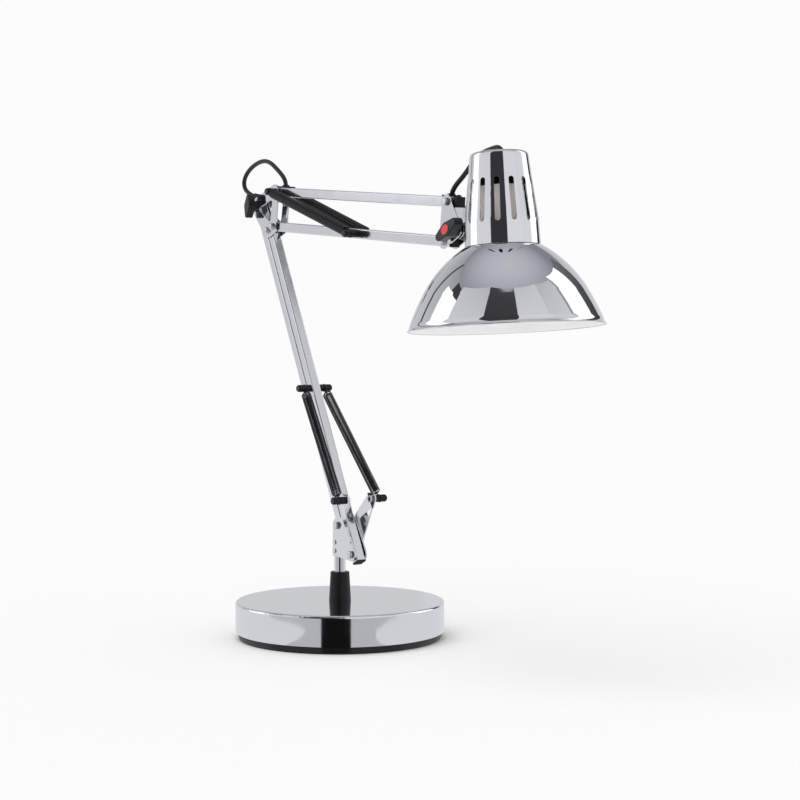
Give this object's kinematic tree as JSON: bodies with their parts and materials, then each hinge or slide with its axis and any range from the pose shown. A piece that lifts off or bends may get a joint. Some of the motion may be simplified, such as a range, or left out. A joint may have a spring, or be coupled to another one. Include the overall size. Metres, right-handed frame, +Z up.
{
  "type": "swing arm desk lamp",
  "caption": "Desk lamp on a round weighted base: two parallel-tube arms balanced by coil springs, with a tilting vented shade.",
  "frame": {"origin": "middle of the underside of the foot, on the surface that the lamp stands on", "axes": "+Z up, +X the way the arms reach over the desk, the arms move in the XZ plane"},
  "size_m": [0.5905, 0.2168, 0.5052],
  "materials": {
    "chrome_sheet": "polished chrome plate",
    "chrome_tube": "polished chrome tube",
    "bright_fastener": "bright nickel-plated steel",
    "black_plastic": "black moulded plastic, satin",
    "black_spring": "black oxide spring wire",
    "red_plastic": "red moulded inlay",
    "cable_jacket": "black PVC jacket",
    "cast_iron": "rough casting",
    "holder_beige": "beige heat-resistant moulding",
    "brass": "rolled brass"
  },
  "bodies": {
    "base": {"base_foot": "black_plastic", "base_cover": "chrome_sheet", "base_weight": "cast_iron", "socket_sleeve": "black_plastic", "socket_bush": "black_plastic", "socket_nut": "bright_fastener"},
    "swivel": {"post": "chrome_sheet", "post_rivets": "bright_fastener", "lower_plate_front": "chrome_sheet", "lower_plate_rear": "chrome_sheet", "lower_pivot_bolts": "bright_fastener", "lower_pivot_nuts": "bright_fastener", "lower_washers": "black_plastic", "anchor_screws": "bright_fastener", "anchor_nuts": "bright_fastener", "anchor_bushes": "black_plastic"},
    "front_tube": {"lower_tube_front": "chrome_tube", "front_tube_plug": "black_plastic", "lower_spring_pin": "bright_fastener", "lower_pin_bushes": "black_plastic"},
    "rear_tube": {"lower_tube_rear": "chrome_tube", "rear_tube_plug": "black_plastic", "rear_tube_grommet": "black_plastic"},
    "elbow": {"elbow_plate_front": "chrome_sheet", "elbow_plate_rear": "chrome_sheet", "elbow_bolts": "bright_fastener", "elbow_nuts": "bright_fastener", "elbow_washers": "black_plastic", "elbow_bushes": "black_plastic", "elbow_cable": "cable_jacket"},
    "elbow_knob": {"elbow_knob": "black_plastic"},
    "low_tube": {"upper_tube_low": "chrome_tube", "low_tube_plug": "black_plastic", "upper_spring_pin": "bright_fastener", "upper_pin_bushes": "black_plastic", "upper_spring_eyes": "black_spring"},
    "high_tube": {"upper_tube_high": "chrome_tube", "high_tube_plugs": "black_plastic", "high_tube_grommets": "black_plastic"},
    "head_bracket": {"head_plate_front": "chrome_sheet", "head_plate_rear": "chrome_sheet", "head_bolts": "bright_fastener", "head_nuts": "bright_fastener", "head_washers": "black_plastic", "head_cable": "cable_jacket"},
    "head_knob": {"head_knob": "black_plastic", "head_knob_cap": "red_plastic"},
    "head": {"cup_bracket": "chrome_sheet", "cooling_cup": "chrome_sheet", "cup_grommet": "black_plastic", "lampholder_cap": "black_plastic", "lampholder_body": "holder_beige", "lampholder_shell": "brass", "lampholder_contact": "brass", "shade": "chrome_sheet", "shade_ring": "black_plastic"},
    "lower_spring": {"lower_spring_coils": "black_spring"},
    "lower_spring_eye": {"lower_spring_eyes": "black_spring"},
    "upper_spring": {"upper_spring_coils": "black_spring"},
    "upper_spring_tail": {"upper_spring_tails": "black_spring"}
  },
  "joints": [
    {"name": "base_swivel", "type": "hinge", "parent": "base", "child": "swivel", "pos_m": [0, 0, 0], "axis": [0, 0, 1], "continuous": true},
    {"name": "lower_arm", "type": "hinge", "parent": "swivel", "child": "front_tube", "pos_m": [0.0342, 0, 0.0902], "axis": [0, 1, 0], "range_deg": [-1.4, 70]},
    {"name": "elbow_level", "type": "hinge", "parent": "front_tube", "child": "elbow", "pos_m": [-0.13917, 0, 0.4261], "axis": [0, 1, 0], "range_deg": [-70.5, 1.9], "deforming": ["elbow_cable"]},
    {"name": "rear_tube_pivot", "type": "hinge", "parent": "elbow", "child": "rear_tube", "pos_m": [-0.166, 0, 0.45366], "axis": [0, 1, 0], "range_deg": [-1.9, 70.5]},
    {"name": "lower_spring_swing", "type": "hinge", "parent": "swivel", "child": "lower_spring", "pos_m": [0.0378, 0, 0.1465], "axis": [0, 1, 0], "range_deg": [-2.41, 96.09], "deforming": ["lower_spring_coils"]},
    {"name": "lower_spring_eye_turn", "type": "hinge", "parent": "front_tube", "child": "lower_spring_eye", "pos_m": [-0.05203, 0, 0.25726], "axis": [0, 1, 0], "range_deg": [-1.01, 26.09], "deforming": ["lower_spring_eyes"]},
    {"name": "elbow_knob_turn", "type": "hinge", "parent": "elbow", "child": "elbow_knob", "pos_m": [-0.166, 0, 0.45366], "axis": [0, 1, 0], "range_deg": [0, 360]},
    {"name": "upper_arm", "type": "hinge", "parent": "elbow", "child": "low_tube", "pos_m": [-0.12817, 0, 0.4301], "axis": [0, 1, 0], "range_deg": [-40, 40]},
    {"name": "high_tube_pivot", "type": "hinge", "parent": "elbow", "child": "high_tube", "pos_m": [-0.12317, 0, 0.4673], "axis": [0, 1, 0], "range_deg": [-40.5, 40.5]},
    {"name": "head_level", "type": "hinge", "parent": "low_tube", "child": "head_bracket", "pos_m": [0.20083, 0, 0.40443], "axis": [0, 1, 0], "range_deg": [-40.5, 40.5], "deforming": ["head_cable"]},
    {"name": "upper_spring_swing", "type": "hinge", "parent": "elbow", "child": "upper_spring", "pos_m": [-0.12317, 0, 0.4673], "axis": [0, 1, 0], "range_deg": [-39.1, 39.1], "deforming": ["upper_spring_coils"]},
    {"name": "upper_spring_stretch", "type": "slide", "parent": "upper_spring", "child": "upper_spring_tail", "axis": [0.9557, 0, -0.2943], "range_m": [-0.0258, 0.0258], "deforming": ["upper_spring_tails", "upper_spring_eyes"]},
    {"name": "head_tilt", "type": "hinge", "parent": "head_bracket", "child": "head", "pos_m": [0.22263, 0, 0.41463], "axis": [0, 1, 0], "range_deg": [-50, 60]},
    {"name": "head_knob_turn", "type": "hinge", "parent": "head_bracket", "child": "head_knob", "pos_m": [0.22263, 0, 0.41463], "axis": [0, 1, 0], "range_deg": [0, 360]}
  ],
  "couplings": [
    {"joint": "rear_tube_pivot", "follows": "lower_arm", "ratio": 1},
    {"joint": "elbow_level", "follows": "lower_arm", "ratio": -1},
    {"joint": "lower_spring_swing", "follows": "lower_arm", "ratio": 1.3655},
    {"joint": "lower_spring_eye_turn", "follows": "lower_arm", "ratio": 0.36553},
    {"joint": "high_tube_pivot", "follows": "upper_arm", "ratio": 1},
    {"joint": "head_level", "follows": "upper_arm", "ratio": -1},
    {"joint": "upper_spring_swing", "follows": "upper_arm", "ratio": 0.965},
    {"joint": "upper_spring_stretch", "follows": "upper_arm", "m_per_rad": 0.035523}
  ]
}
